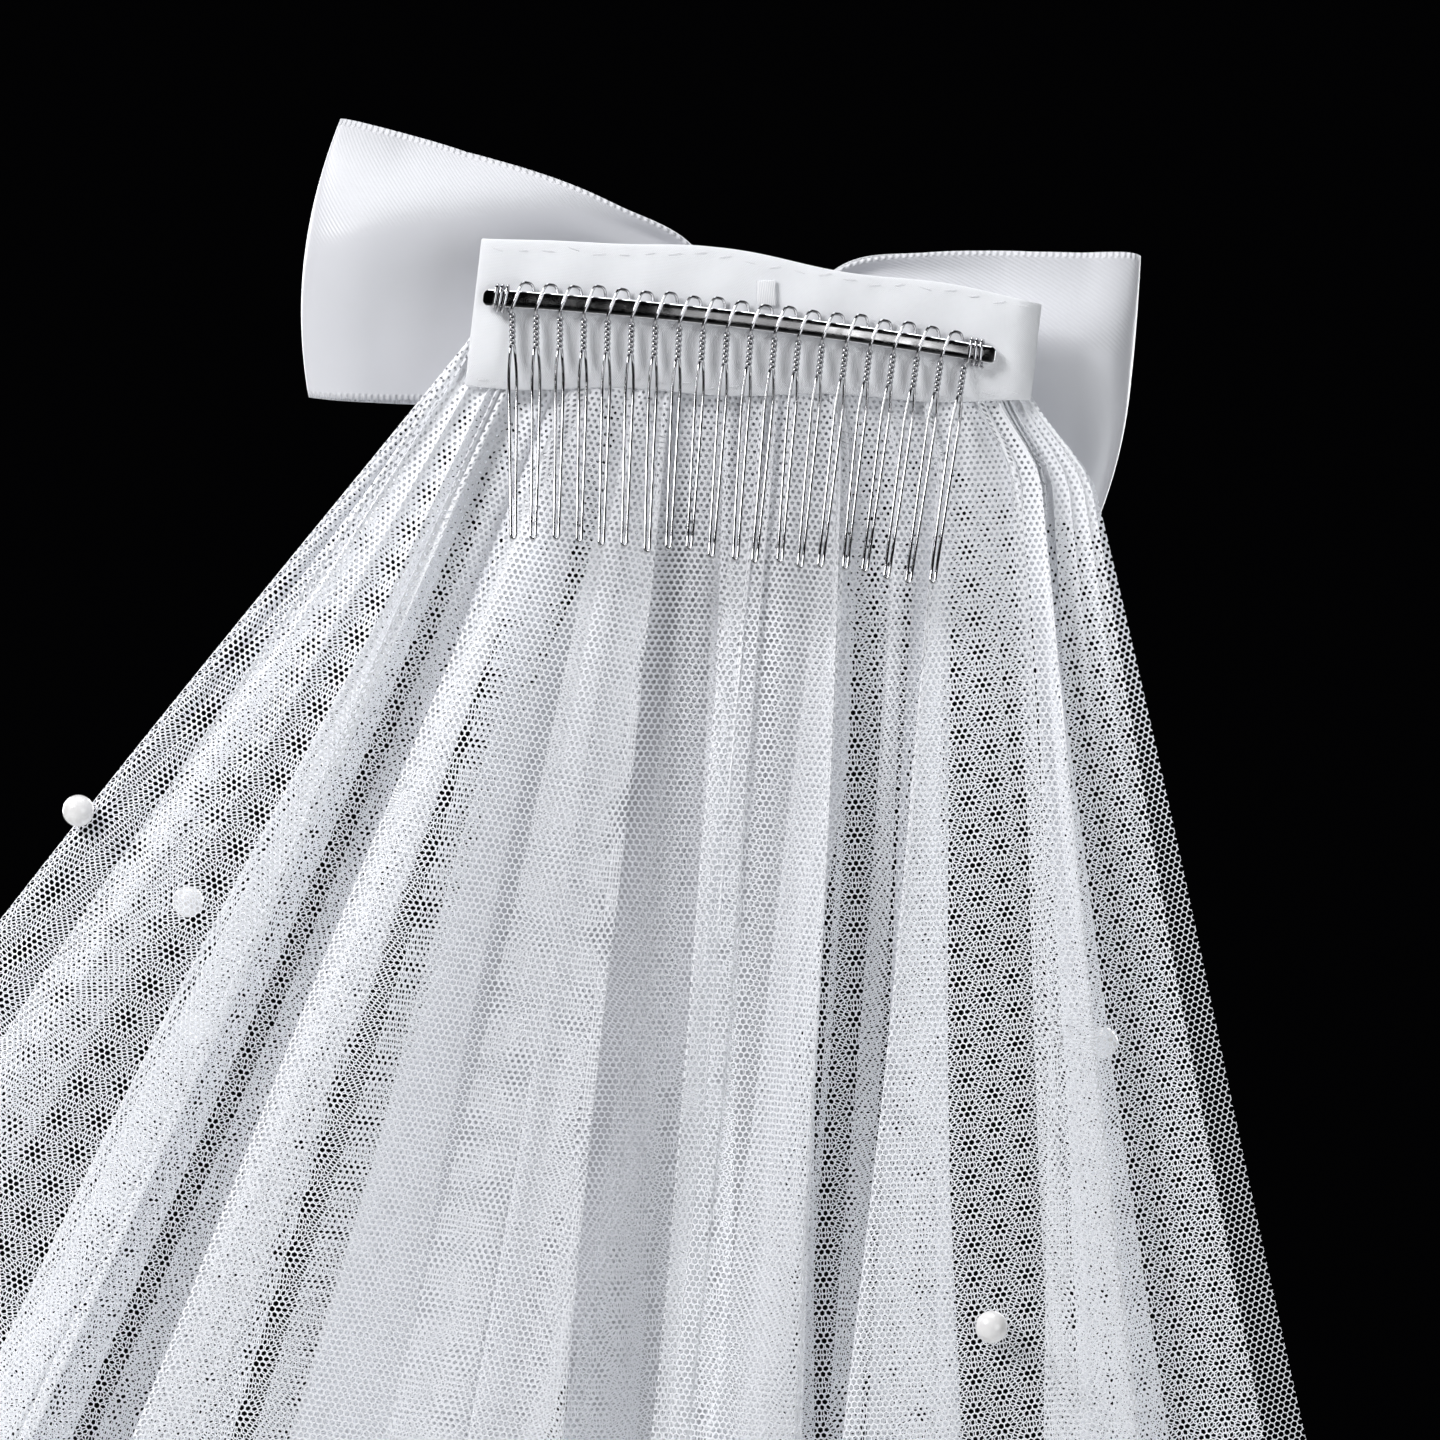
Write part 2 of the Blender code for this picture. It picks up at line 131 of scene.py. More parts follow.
# White thread round six-sided holes, laid out in the cloth's own flat metres
def netMaterial(name):
    look = Nodes(name)
    uv = look.add("ShaderNodeTexCoord").outputs["UV"]
    split = look.add("ShaderNodeSeparateXYZ", Vector=uv)
    pitch = netLook["pitch"]
    rows = pitch * math.sqrt(3.0)
    distances = []
    for shift in (0.0, 0.5):  # the holes lie on two rectangular grids, half a step apart
        across = look.math("ADD", look.math("DIVIDE", split.outputs["X"], pitch), shift + 1000.0)
        down = look.math("ADD", look.math("DIVIDE", split.outputs["Y"], rows), shift + 1000.0)
        x = look.math("ABSOLUTE", look.math("SUBTRACT", look.math("FRACT", across), 0.5))
        y = look.math("ABSOLUTE", look.math("SUBTRACT", look.math("FRACT", down), 0.5))
        y = look.math("MULTIPLY", y, math.sqrt(3.0))
        slanted = look.math("ADD", look.math("MULTIPLY", x, 0.5), look.math("MULTIPLY", y, math.sqrt(0.75)))
        distances.append(look.math("MAXIMUM", x, slanted))
    nearest = look.math("MINIMUM", *distances)
    folded = look.add("ShaderNodeAttribute")
    folded.attribute_name = "turned"
    closing = look.math("POWER", folded.outputs["Fac"], 1.5)
    thick = look.math("ADD", 1.0, look.math("MULTIPLY", closing, netLook["foldThick"]))
    edge = look.math("SUBTRACT", 0.5, look.math("MULTIPLY", thick, 0.5 * netLook["thread"] / pitch))
    alpha = look.ramp(nearest, look.math("SUBTRACT", edge, 0.02), look.math("ADD", edge, 0.02))
    look.set(look.shader, "Alpha", alpha)
    look.set(look.shader, "Base Color", look.mixColour(look.noise(uv, 90.0), netLook["shade"], netLook["colour"]))
    look.set(look.shader, "Roughness", 0.55)
    look.set(look.shader, "Specular IOR Level", 0.35)
    return look.material


satinLook = {
    "twill": 0.00055,  # metres between the diagonal ribs
    "selvage": 0.0011,
    "tick": 0.0011,
    "colour": (0.73, 0.735, 0.765),
    "shade": (0.65, 0.655, 0.69),
}


# Satin ribbon: diagonal ribs on the matt part, ticks of thread along both edges, and a smooth gloss elsewhere
def satinMaterial(name, half, lean=1.0):
    look = Nodes(name)
    uv = look.add("ShaderNodeTexCoord").outputs["UV"]
    split = look.add("ShaderNodeSeparateXYZ", Vector=uv)
    along, across = split.outputs["X"], split.outputs["Y"]
    slant = look.math("ADD", look.math("MULTIPLY", along, lean), across)
    ribs = look.math("SINE", look.math("MULTIPLY", slant, math.tau / satinLook["twill"] / 1.4))
    zone = look.add("ShaderNodeAttribute")
    zone.attribute_name = "turned"
    matt = zone.outputs["Fac"]
    edge = look.ramp(look.math("ABSOLUTE", across), half - satinLook["selvage"], half - 0.6 * satinLook["selvage"])
    ticks = look.math("SINE", look.math("MULTIPLY", along, math.tau / satinLook["tick"]))
    fine = look.math("MULTIPLY", ribs, look.math("MULTIPLY", matt, 0.32))
    weave = look.math("ADD", fine, look.math("MULTIPLY", ticks, look.math("MULTIPLY", edge, 1.2)))
    cloudy = look.noise(uv, 60.0, 3.0)
    wrinkle = look.math("MULTIPLY", look.noise(uv, 140.0, 2.0), 0.8)
    look.bump(look.math("ADD", weave, wrinkle), 0.00012, 0.7)
    paler = look.math("ADD", look.math("MULTIPLY", cloudy, 0.5), look.math("MULTIPLY", edge, 0.4))
    darker = look.math("SUBTRACT", paler, look.math("MULTIPLY", look.math("MULTIPLY", ribs, matt), 0.20))
    look.set(look.shader, "Base Color", look.mixColour(darker, satinLook["shade"], satinLook["colour"]))
    look.set(look.shader, "Roughness", look.math("ADD", look.math("MULTIPLY", matt, 0.22), 0.30))
    look.set(look.shader, "Sheen Weight", 0.15)
    look.set(look.shader, "Sheen Roughness", 0.4)
    return look.material


stripLook = {"colour": (0.90, 0.91, 0.94), "shade": (0.83, 0.84, 0.87), "weave": 0.00030}


# Smooth white cloth with a fine plain weave and a few soft creases, whose hollows are painted a little darker as
# shade
def stripMaterial():
    look = Nodes("stripCloth")
    uv = look.add("ShaderNodeTexCoord").outputs["UV"]
    split = look.add("ShaderNodeSeparateXYZ", Vector=uv)
    warp = look.math("SINE", look.math("MULTIPLY", split.outputs["X"], math.tau / stripLook["weave"]))
    weft = look.math("SINE", look.math("MULTIPLY", split.outputs["Y"], math.tau / stripLook["weave"]))
    weave = look.math("MULTIPLY", look.math("MULTIPLY", warp, weft), 0.12)
    stretched = look.add("ShaderNodeMapping", Vector=uv)
    stretched.inputs["Scale"].default_value = (1.0, 0.35, 1.0)
    creases = look.noise(stretched.outputs["Vector"], 160.0, 3.0)
    look.bump(look.math("ADD", weave, creases), 0.00035, 0.6)
    # Painted shade: the crease noise that lowers the bump also darkens the colour in those hollows
    look.set(look.shader, "Base Color", look.mixColour(creases, stripLook["shade"], stripLook["colour"]))
    look.set(look.shader, "Roughness", 0.42)
    look.set(look.shader, "Sheen Weight", 0.2)
    return look.material


# White sewing thread with its twist, the grooves of the twist painted darker as shade
def threadMaterial():
    look = Nodes("whiteThread")
    place = look.add("ShaderNodeTexCoord").outputs["Object"]
    twistAndShade = look.add("ShaderNodeTexWave", Vector=place, Scale=900.0, Distortion=0.4)
    look.bump(twistAndShade.outputs["Fac"], 0.00005, 0.6)
    # Painted shade: the twist's low grooves take the grey colour, its ridges the white
    look.set(look.shader, "Base Color", look.mixColour(twistAndShade.outputs["Fac"], (0.74, 0.75, 0.78), (0.90, 0.90, 0.92)))
    look.set(look.shader, "Roughness", 0.6)
    return look.material


pearlLook = {"colour": (0.88, 0.87, 0.85), "shade": (0.80, 0.79, 0.80)}


# Imitation nacre: a pale body with a clear coat and faint cloudy bands
def pearlMaterial():
    look = Nodes("nacre")
    place = look.add("ShaderNodeTexCoord").outputs["Object"]
    cloud = look.noise(place, 420.0, 3.0)
    look.set(look.shader, "Base Color", look.mixColour(cloud, pearlLook["shade"], pearlLook["colour"]))
    look.set(look.shader, "Roughness", look.ramp(cloud, 0.3, 0.7, 0.22, 0.32))
    look.set(look.shader, "Coat Weight", 0.6)
    look.set(look.shader, "Coat Roughness", 0.12)
    look.set(look.shader, "Subsurface Weight", 0.15)
    look.set(look.shader, "Subsurface Radius", (0.002, 0.002, 0.002))
    look.bump(cloud, 0.00003, 0.4)
    return look.material


# Bright plated steel with faint drawing lines and small dull spots
def metalMaterial(name, colour, roughness, scale):
    look = Nodes(name)
    place = look.add("ShaderNodeTexCoord").outputs["Object"]
    drawn = look.add("ShaderNodeMapping", Vector=place)
    drawn.inputs["Scale"].default_value = (0.1, 1.0, 1.0)
    lines = look.noise(drawn.outputs["Vector"], scale, 2.0)
    spots = look.noise(place, 0.4 * scale, 3.0)
    darker = tuple(0.82 * part for part in colour)
    look.set(look.shader, "Base Color", look.mixColour(spots, darker, colour))
    look.set(look.shader, "Metallic", 1.0)
    look.set(look.shader, "Roughness", look.ramp(spots, 0.35, 0.75, roughness, 2.2 * roughness))
    look.bump(lines, 0.00001, 0.06)
    return look.material


# Shape helpers

# The smooth curve through evenly spaced rows, with place counted in rows
def blend(rows, place):
    last = len(rows) - 1
    index = min(int(place), last - 1)
    t = place - index
    before, start = rows[max(index - 1, 0)], rows[index]
    end, after = rows[index + 1], rows[min(index + 2, last)]
    return [
        0.5 * (2 * b + (c - a) * t + (2 * a - 5 * b + 4 * c - d) * t * t + (3 * b - a - 3 * c + d) * t**3)
        for a, b, c, d in zip(before, start, end, after)
    ]


# The finished mesh of a bmesh as an object that rides on the one body
def asPiece(name, bm, material, slot, *replaced):
    mesh = bpy.data.meshes.new(name)
    bm.to_mesh(mesh)
    bm.free()
    mesh.shade_smooth()
    mesh.materials.append(material)
    piece = bpy.data.objects.new(name, mesh)
    bpy.context.scene.collection.objects.link(piece)
    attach(piece, "root")
    if replaced:
        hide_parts(*replaced)
    return piece


# A flat grid of cloth moved to place(u, v). flat(u, v) gives its place on the uncut cloth in metres
def foldedGrid(across, down, place, flat, turned=None):
    bm = bmesh.new()
    bmesh.ops.create_grid(bm, x_segments=across, y_segments=down, size=0.5)
    uv = bm.loops.layers.uv.new("clothMetres")
    kept = bm.verts.layers.float.new("turned")
    shares = {vert: (vert.co.x + 0.5, 0.5 - vert.co.y) for vert in bm.verts}
    for face in bm.faces:
        middle = sum(shares[vert][0] for vert in face.verts) / len(face.verts)
        for loop in face.loops:
            loop[uv].uv = flat(*shares[loop.vert], middle)
    if turned:
        for vert, (u, v) in shares.items():
            vert[kept] = turned(u, v)
    for vert, (u, v) in shares.items():
        vert.co = place(u, v)
    bm.normal_update()
    return bm


def addWall(piece, thickness, offset=0.0):
    wall = piece.modifiers.new("wall", "SOLIDIFY")
    wall.thickness = thickness
    wall.offset = offset
    return wall


# Distances along the middle of a ribbon, one for each step from its start
def lengthsAlong(place, steps):
    points = [place(0.5, step / steps) for step in range(steps + 1)]
    total = [0.0]
    for first, second in zip(points, points[1:]):
        total.append(total[-1] + (second - first).length)
    return total


# A round wire swept along points, with closed ends
def wireMesh(points, radius, sides):
    curve = bpy.data.curves.new("wirePath", "CURVE")
    curve.dimensions = "3D"
    curve.bevel_depth = radius
    curve.bevel_resolution = sides // 2 - 2
    curve.use_fill_caps = True
    spline = curve.splines.new("POLY")
    spline.points.add(len(points) - 1)
    for point, place in zip(spline.points, points):
        point.co = (*place, 1.0)
    holder = bpy.data.objects.new("wirePath", curve)
    bpy.context.scene.collection.objects.link(holder)
    mesh = bpy.data.meshes.new_from_object(holder.evaluated_get(bpy.context.evaluated_depsgraph_get()))
    bpy.data.objects.remove(holder)
    bm = bmesh.new()
    bm.from_mesh(mesh)
    bmesh.ops.remove_doubles(bm, verts=bm.verts, dist=1e-6)
    bpy.data.meshes.remove(mesh)
    return bm


# The veil's own sizes, in metres, the same as the frame's

gap = 0.0003

comb = {
    "barLength": 0.080,
    "barHeight": 0.0026,
    "barThickness": 0.0008,
    "barArch": 0.0011,
    "teeth": 20,
    "pitch": 0.00372,
    "toothLength": 0.0362,
    "toothCurve": 0.0095,
    "tipClosing": 0.085,
    "tipLean": 0.0015,
    "wire": 0.0005,
    "archRise": 0.0010,
    "shankLength": 0.0060,
    "shankTurns": 3.25,
    "shankRadius": 0.00030,
    "legSpread": 0.0013,
    "tipSpread": 0.0007,
    "endTurns": 3,
    "endPitch": 0.0008,
}
wireOffset = comb["barThickness"] / 2 + comb["wire"] / 2 + gap

strip = {
    "width": 0.0875,
    "thickness": 0.0012,
    "top": (0.0081, 0.0053),
    "bottom": (-0.0148, -0.0074),
    "shift": 0.0024,
    "bulge": (0.0037, 0.0030),
}
stripFront = wireOffset + comb["wire"] / 2 + gap
stripBack = stripFront + strip["thickness"]

net = {
    "wall": 0.0010,
    "gatherHalf": 0.0465,
    "gatherMiddle": 0.0060,
    "gatherRise": 0.0040,
    "tuck": 0.0160,
    "fanStart": 0.0070,
    "fan": 0.637,
    "fanSettles": 0.75,
    "fanLength": 0.600,
    "foldTop": 0.0008,
    "foldGrowth": 0.036,
    "foldSwell": 1.25,
    "stepsAcross": 40,
    "rows": 90,
    "rowCrowding": 1.5,
    "gathers": 3.7,  # small gathers between two creases
    "gatherDepth": 0.0006,
    "gatherFades": 0.085,
    "layerGap": 0.0007,
    "gatherCover": 0.85,
    "coverFades": 0.052,
    "squeeze": 0.16,
}
innerPlane = stripBack + gap + net["wall"] / 2 + net["foldSwell"] * net["foldTop"]
outerPlane = innerPlane + 2 * net["foldSwell"] * net["foldTop"] + net["wall"] + gap
bowPlane = outerPlane + net["foldSwell"] * net["foldTop"] + net["wall"] / 2 + gap

# Creases from left to right: place in the gather, slope as a share of the fan, side (-1 head, +1 out)
tiers = {
    "inner": {
        "length": 0.540,
        "plane": innerPlane,
        "swing": -0.060,
        "flat": (1.50, 0.540),
        "cutTop": 0.75,
        "seed": 3,
        "turn": 0.0,
        "pleats": (
            (1.9, 4.4, 3, 1.9),
            (4.5, 6.3, 3, 2.5),
            (6.3, 9.2, 4, 2.2),
            (9.3, 12.2, 5, 2.2),
            (12.3, 15.2, 4, 1.9),
        ),
        "creases": (
            (-0.90, -0.70, 0.7),
            (-1.00, -0.80, -0.4),
            (-0.84, -0.50, -1.0),
            (-0.80, -0.62, 1.0),
            (-0.62, -0.33, 1.0),
            (-0.60, -0.46, -1.0),
            (-0.36, 0.02, -1.0),
            (-0.34, -0.12, 1.0),
            (-0.10, 0.16, 1.0),
            (-0.06, 0.02, -1.0),
            (0.24, 0.12, -1.0),
            (0.27, -0.04, 1.0),
            (0.56, 0.20, 1.0),
            (0.60, 0.02, -1.0),
            (0.84, 0.34, -1.0),
            (0.88, 0.20, 1.0),
            (1.00, 0.47, 0.2),
        ),
    },
    "outer": {
        "length": 0.400,
        "plane": outerPlane,
        "swing": 0.035,
        "flat": (1.13, 0.400),
        "cutTop": 0.57,
        "seed": 8,
        "turn": 12.0,
        "pleats": ((1.9, 4.6, 3, 1.8), (4.8, 7.0, 3, 2.4), (7.1, 9.4, 3, 2.2), (9.5, 11.6, 3, 1.9)),
        "creases": (
            (-0.93, -0.78, -1.0),
            (-1.00, -1.00, 0.3),
            (-0.82, -0.48, 1.0),
            (-0.78, -0.60, -1.0),
            (-0.56, -0.14, -1.0),
            (-0.53, -0.28, 1.0),
            (-0.20, 0.06, 1.0),
            (-0.16, -0.06, -1.0),
            (0.16, 0.17, -1.0),
            (0.20, 0.03, 1.0),
            (0.50, 0.24, 1.0),
            (0.54, 0.08, -1.0),
            (0.80, 0.42, -1.0),
            (0.84, 0.28, 1.0),
            (1.00, 0.565, 0.4),
        ),
    },
}


# Pleats: from crease, to crease, how many, and how far each doubles back (over 1 makes three layers)
# Runs the crease count back and forth, so that the cloth lies in narrow flat pleats, and keeps their layers apart
def pleated(pleats, crease):
    for start, end, count, back in pleats:
        if start < crease < end:
            share = (crease - start) / (end - start)
            phase = math.tau * count * share + 0.8 * math.sin(math.tau * share + start)
            fade = math.sin(math.pi * share) ** 0.4
            shift = fade * back * (end - start) / (math.tau * count) * math.sin(phase)
            lift = fade * net["layerGap"] * (math.cos(phase) + 0.85 * math.cos(phase / 2))
            return min(end, max(start, crease - shift)), lift
    return crease, 0.0


# A point of a net tier: crease counts along the cloth, down goes from the gather to the hem
def netPoint(tier, crease, down, wobble):
    made = tiers[tier]
    counted = crease
    crease, lift = pleated(made["pleats"], crease)
    top, fan, side = blend(made["creases"], crease)
    fallen = down ** net["rowCrowding"] * made["length"]
    free = max(0.0, fallen - net["tuck"])
    spread = max(0.0, fallen - net["fanStart"])
    reach = spread - net["fanSettles"] * spread**3 / (3 * net["fanLength"] ** 2)
    depth = net["foldTop"] + net["foldGrowth"] * free
    middle = (sum(strip["top"]) + sum(strip["bottom"])) / 4
    slope = (strip["top"][1] - strip["top"][0] + strip["bottom"][1] - strip["bottom"][0]) / (2 * strip["width"])
    gather = middle + net["gatherRise"] + slope * top * net["gatherHalf"]
    x = net["gatherMiddle"] + top * net["gatherHalf"] + fan * net["fan"] * reach
    y = made["plane"] + made["swing"] * free + side * depth + lift * min(1.0, 0.3 + free / 0.03)
    bunch = math.exp(-fallen / net["gatherFades"])
    if top > 0:  # the bunch at the right slips in behind the end of the strip
        hidden = 1.0 - min(1.0, max(0.0, (fallen - 0.007) / 0.016))
        x -= net["squeeze"] * top * net["gatherHalf"] * hidden * hidden * (3 - 2 * hidden)
    last = len(made["creases"]) - 1
    bunch *= min(1.0, 0.25 + 1.5 * min(counted, last - counted))
    phase = counted * net["gathers"] * math.tau + 2.0 * wobble(counted, 0)
    y += net["gatherDepth"] * bunch * math.cos(phase)
    x += (1.0 + 8.0 * fallen) * net["gatherDepth"] * bunch * math.sin(phase)
    loose = min(1.0, free / 0.10)
    y += 0.0011 * loose * math.sin(crease * 5.1 + fallen * 31.0 + wobble(crease, 1))
    x += 0.0009 * loose * math.sin(crease * 3.3 + fallen * 23.0 + wobble(crease, 2))
    return Vector((x, y, gather - fallen))


# An open sheet of net: panels between creases each keep their own flat metres, so the holes stay even
def makeTier(tier):
    made = tiers[tier]
    last = len(made["creases"]) - 1
    steps = net["stepsAcross"]
    picks = random.Random(made["seed"])
    shifts = [[picks.uniform(-1.0, 1.0) for _ in range(last + 2)] for _ in range(3)]

    def wobble(crease, kind):
        index = min(int(crease), last)
        share = crease - index
        return shifts[kind][index] * (1 - share) + shifts[kind][index + 1] * share

    rows = {}

    # Distances along the cloth at one row, one for each grid column
    def rowArc(down):
        if down not in rows:
            points = [netPoint(tier, column / steps, down, wobble) for column in range(last * steps + 1)]
            total = [0.0]
            for first, second in zip(points, points[1:]):
                total.append(total[-1] + math.hypot(second.x - first.x, second.y - first.y))
            rows[down] = (points, total)
        return rows[down]

    slopes = []
    for panel in range(last):
        high = netPoint(tier, panel + 0.5, 0.35, wobble)
        low = netPoint(tier, panel + 0.5, 0.65, wobble)
        slopes.append(math.atan2(low.x - high.x, high.z - low.z) + math.radians(made["turn"]))

    def flat(u, v, middle):
        column = round(u * last * steps)
        panel = min(int(middle * last), last - 1)
        points, total = rowArc(round(v, 6))
        centre = panel * steps + steps // 2
        sign = 1.0 if points[(panel + 1) * steps].x > points[panel * steps].x else -1.0
        across = points[centre].x + sign * (total[column] - total[centre])
        height = points[column].z
        angle = slopes[panel]
        turned = across * math.cos(angle) + height * math.sin(angle)
        along = -across * math.sin(angle) + height * math.cos(angle)
        return turned + 0.0137 * panel, along + 0.0071 * panel

    # How far the cloth is turned away from the front here, or bunched in the gather, from 0 to 1
    def turned(u, v):
        column = round(u * last * steps)
        points, _ = rowArc(round(v, 6))
        first, second = points[max(0, column - 1)], points[min(last * steps, column + 1)]
        run = math.hypot(second.x - first.x, second.y - first.y)
        edgeOn = 1.0 - abs(second.x - first.x) / max(run, 1e-9)
        fallen = v ** net["rowCrowding"] * made["length"]
        return min(1.0, edgeOn + net["gatherCover"] * math.exp(-((fallen / net["coverFades"]) ** 2)))

    bm = foldedGrid(
        last * steps, net["rows"], lambda u, v: netPoint(tier, u * last, v, wobble), flat, turned
    )
    print(tier, "widths from gather to hem:", [round(rowArc(round(row / 5, 6))[1][-1], 3) for row in range(6)])
    piece = asPiece(f"net_{tier}", bm, netMaterial(f"{tier}Net"), "net", f"tulle_{tier}_tier")
    width, drop = made["flat"]
    return piece


makeTier("inner")
makeTier("outer")
print("net tiers made")


# Bow: the same sections as the frame's, with a finer surface

ribbon = {
    "width": 0.0425,
    "wall": 0.0005,
    "reach": 0.0626,
    "depth": 0.030,
    "knotPlace": 0.0030,
    "knotWidth": 0.0150,
    "knotHeight": 0.0220,
    "knotDepth": 0.0140,
    "knotWall": 0.0012,
    "pinch": 0.34,
    "tailLength": 0.300,
    "tailParting": 0.02,
    "crest": 0.0036,
    "gathers": 5,
}

# Sections of a loop: out, rise, half height, depth
loops = {
    "left": (
        (0.00, 0.00, 0.13, 0.08),
        (0.05, 0.01, 0.15, 0.08),
        (0.15, 0.03, 0.23, 0.06),
        (0.38, 0.05, 0.37, 0.03),
        (0.70, 0.06, 0.46, 0.01),
        (1.00, 0.06, 0.50, 0.06),
        (1.07, 0.06, 0.50, 0.24),
        (0.96, 0.06, 0.49, 0.56),
        (0.68, 0.06, 0.45, 0.94),
        (0.36, 0.05, 0.36, 0.98),
        (0.14, 0.03, 0.24, 0.58),
        (0.05, 0.01, 0.15, 0.22),
        (0.00, 0.00, 0.13, 0.18),
    ),
    "right": (
        (0.00, 0.00, 0.13, 0.08),
        (0.05, 0.01, 0.15, 0.08),
        (0.15, 0.02, 0.22, 0.06),
        (0.34, 0.00, 0.35, 0.03),
        (0.62, -0.04, 0.44, 0.01),
        (0.81, -0.08, 0.50, 0.06),
        (0.86, -0.09, 0.50, 0.24),
        (0.79, -0.08, 0.50, 0.56),
        (0.56, -0.02, 0.45, 0.94),
        (0.32, 0.02, 0.36, 0.98),
        (0.14, 0.02, 0.24, 0.58),
        (0.05, 0.01, 0.15, 0.22),
        (0.00, 0.00, 0.13, 0.18),
    ),
}


# How far a point lies above the soft crest that runs from the loop's end up to its top edge at the knot
def crestSide(hand, out, across):
    return across - (1.25 - 1.05 * out if hand == "left" else 0.05 + 0.30 * out)


# The share of the ribbon's matt twill that shows: above the crest, on the ply that faces the head
def twillShows(hand, u, v):
    rows = loops[hand]
    out = blend(rows, v * (len(rows) - 1))[0]
    above = crestSide(hand, out, 1 - 2 * u)
    facing = max(0.0, min(1.0, (0.5 - v) * 10))
    shown = max(0.0, min(1.0, 0.5 + above / 0.16))
    return facing * shown * max(0.0, min(1.0, (out - 0.12) / 0.25))


# u runs across the ribbon from its top edge, v from the knot round the end and back
def loopPoint(hand, u, v):
    rows = loops[hand]
    last = len(rows) - 1
    out, rise, half, depth = blend(rows, v * last)
    toward = -1 if hand == "left" else 1
    across = 1 - 2 * u
    above = crestSide(hand, out, across)
    pinched = max(0.0, 1.0 - out / 0.55) ** 1.5
    backPly = max(0.0, min(1.0, (0.5 - v) * 8))
    fold = 0.0013 * pinched * math.cos(across * ribbon["gathers"] * math.pi) * min(1.0, out / 0.08)
    crest = ribbon["crest"] * backPly * min(1.0, out / 0.5)
    y = depth * ribbon["depth"] + fold
    y += crest * (1.0 - 1.3 * math.exp(-((above / (0.42 if above > 0 else 0.55)) ** 2)) + 0.5 * max(0.0, above))
    y += 0.0015 * backPly * max(0.0, (out - 0.90) / 0.12) ** 2
    end = max(0.0, out - 0.7)
    x = ribbon["knotPlace"] + toward * (ribbon["knotWidth"] * ribbon["pinch"] + out * ribbon["reach"])
    curled = 0.7 if hand == "left" else (0.35 if across > 0 else 1.6)
    x -= toward * 0.012 * end * across * across * curled
    z = (rise + across * half) * ribbon["width"]
    z += 0.004 * end * max(0.0, across)
    z += 0.0020 * math.exp(-(((out - 0.14) / 0.12) ** 2)) * max(0.0, across)
    if hand == "right":
        z -= 0.006 * end * (1 - across) * max(0.0, v - 0.3)
    return Vector((x, bowPlane + ribbon["knotWall"] + 2 * gap + 0.0005 + y, z))


def makeLoop(hand):
    steps = 120
    half = ribbon["width"] / 2
    lengths = lengthsAlong(lambda u, v: loopPoint(hand, u, v), steps)
    bm = foldedGrid(
        40,
        steps,
        lambda u, v: loopPoint(hand, u, v),
        lambda u, v, middle: (lengths[round(v * steps)], (1 - 2 * u) * half),
        lambda u, v: twillShows(hand, u, v),
    )
    material = satinMaterial(f"{hand}LoopSatin", half, -1.0 if hand == "left" else 0.6)
    piece = asPiece(f"ribbon_loop_{hand}", bm, material, "satin", f"bow_loop_{hand}")
    addWall(piece, ribbon["wall"])
    return piece


# Sections of a tail: drop, aside, half width, turn in degrees
tails = {
    "left": (
        (0.00, -0.10, 0.16, 0.0),
        (0.08, -0.16, 0.32, 0.0),
        (0.20, -0.27, 0.48, -2.0),
        (0.40, -0.55, 0.50, -8.0),
        (0.62, -0.90, 0.50, -26.0),
        (0.82, -1.20, 0.50, -12.0),
        (1.00, -1.42, 0.50, 4.0),
    ),
    "middle": (
        (0.00, 0.10, 0.16, 0.0),
        (0.08, 0.10, 0.32, 6.0),
        (0.20, 0.06, 0.48, 22.0),
        (0.40, 0.06, 0.50, 42.0),
        (0.62, 0.10, 0.50, 48.0),
        (0.82, 0.18, 0.50, 30.0),
        (1.00, 0.26, 0.50, 10.0),
    ),
}


def tailPoint(which, layer, u, v):
    rows = tails[which]
    last = len(rows) - 1
    drop, aside, half, turn = blend(rows, v * last)
    angle = math.radians(turn)
    fallen = drop * ribbon["tailLength"]
    reach = (2 * u - 1) * half * ribbon["width"]
    slant = 0.25 * ribbon["width"] * (u - 0.5) * max(0.0, v * last - last + 1)
    lift = layer * (net["wall"] + gap + ribbon["tailParting"] * fallen)
    slope = net["foldSwell"] * net["foldGrowth"] + tiers["outer"]["swing"]
    clear = bowPlane + gap + net["wall"] + lift + slope * fallen
    held = max(0.0, 1.0 - fallen / ribbon["knotHeight"]) ** 2
    clear += held * (ribbon["knotDepth"] / 2 - net["wall"] - gap)
    y = clear + abs(half * ribbon["width"] * math.sin(angle)) + reach * math.sin(angle)
    pleat = 0.0016 * math.exp(-fallen / 0.03) * math.cos((2 * u - 1) * 3 * math.pi) * min(1.0, fallen / 0.006)
    ripple = 0.0012 * min(1.0, fallen / 0.08) * math.sin(fallen * 42.0 + 2.0 * u)
    x = ribbon["knotPlace"] + aside * ribbon["width"] + reach * math.cos(angle)
    return Vector((x, y + pleat + ripple, -ribbon["knotHeight"] / 2 - gap - fallen - slant))


def makeTail(which, layer):
    half = ribbon["width"] / 2
    steps = 110
    lengths = lengthsAlong(lambda u, v: tailPoint(which, layer, u, v), steps)
    bm = foldedGrid(
        30,
        steps,
        lambda u, v: tailPoint(which, layer, u, v),
        lambda u, v, middle: (lengths[round(v * steps)], (1 - 2 * u) * half),
    )
    material = satinMaterial(f"{which}TailSatin", half)
    piece = asPiece(f"ribbon_tail_{which}", bm, material, "satin", f"bow_tail_{which}")
    addWall(piece, ribbon["wall"])
    return piece


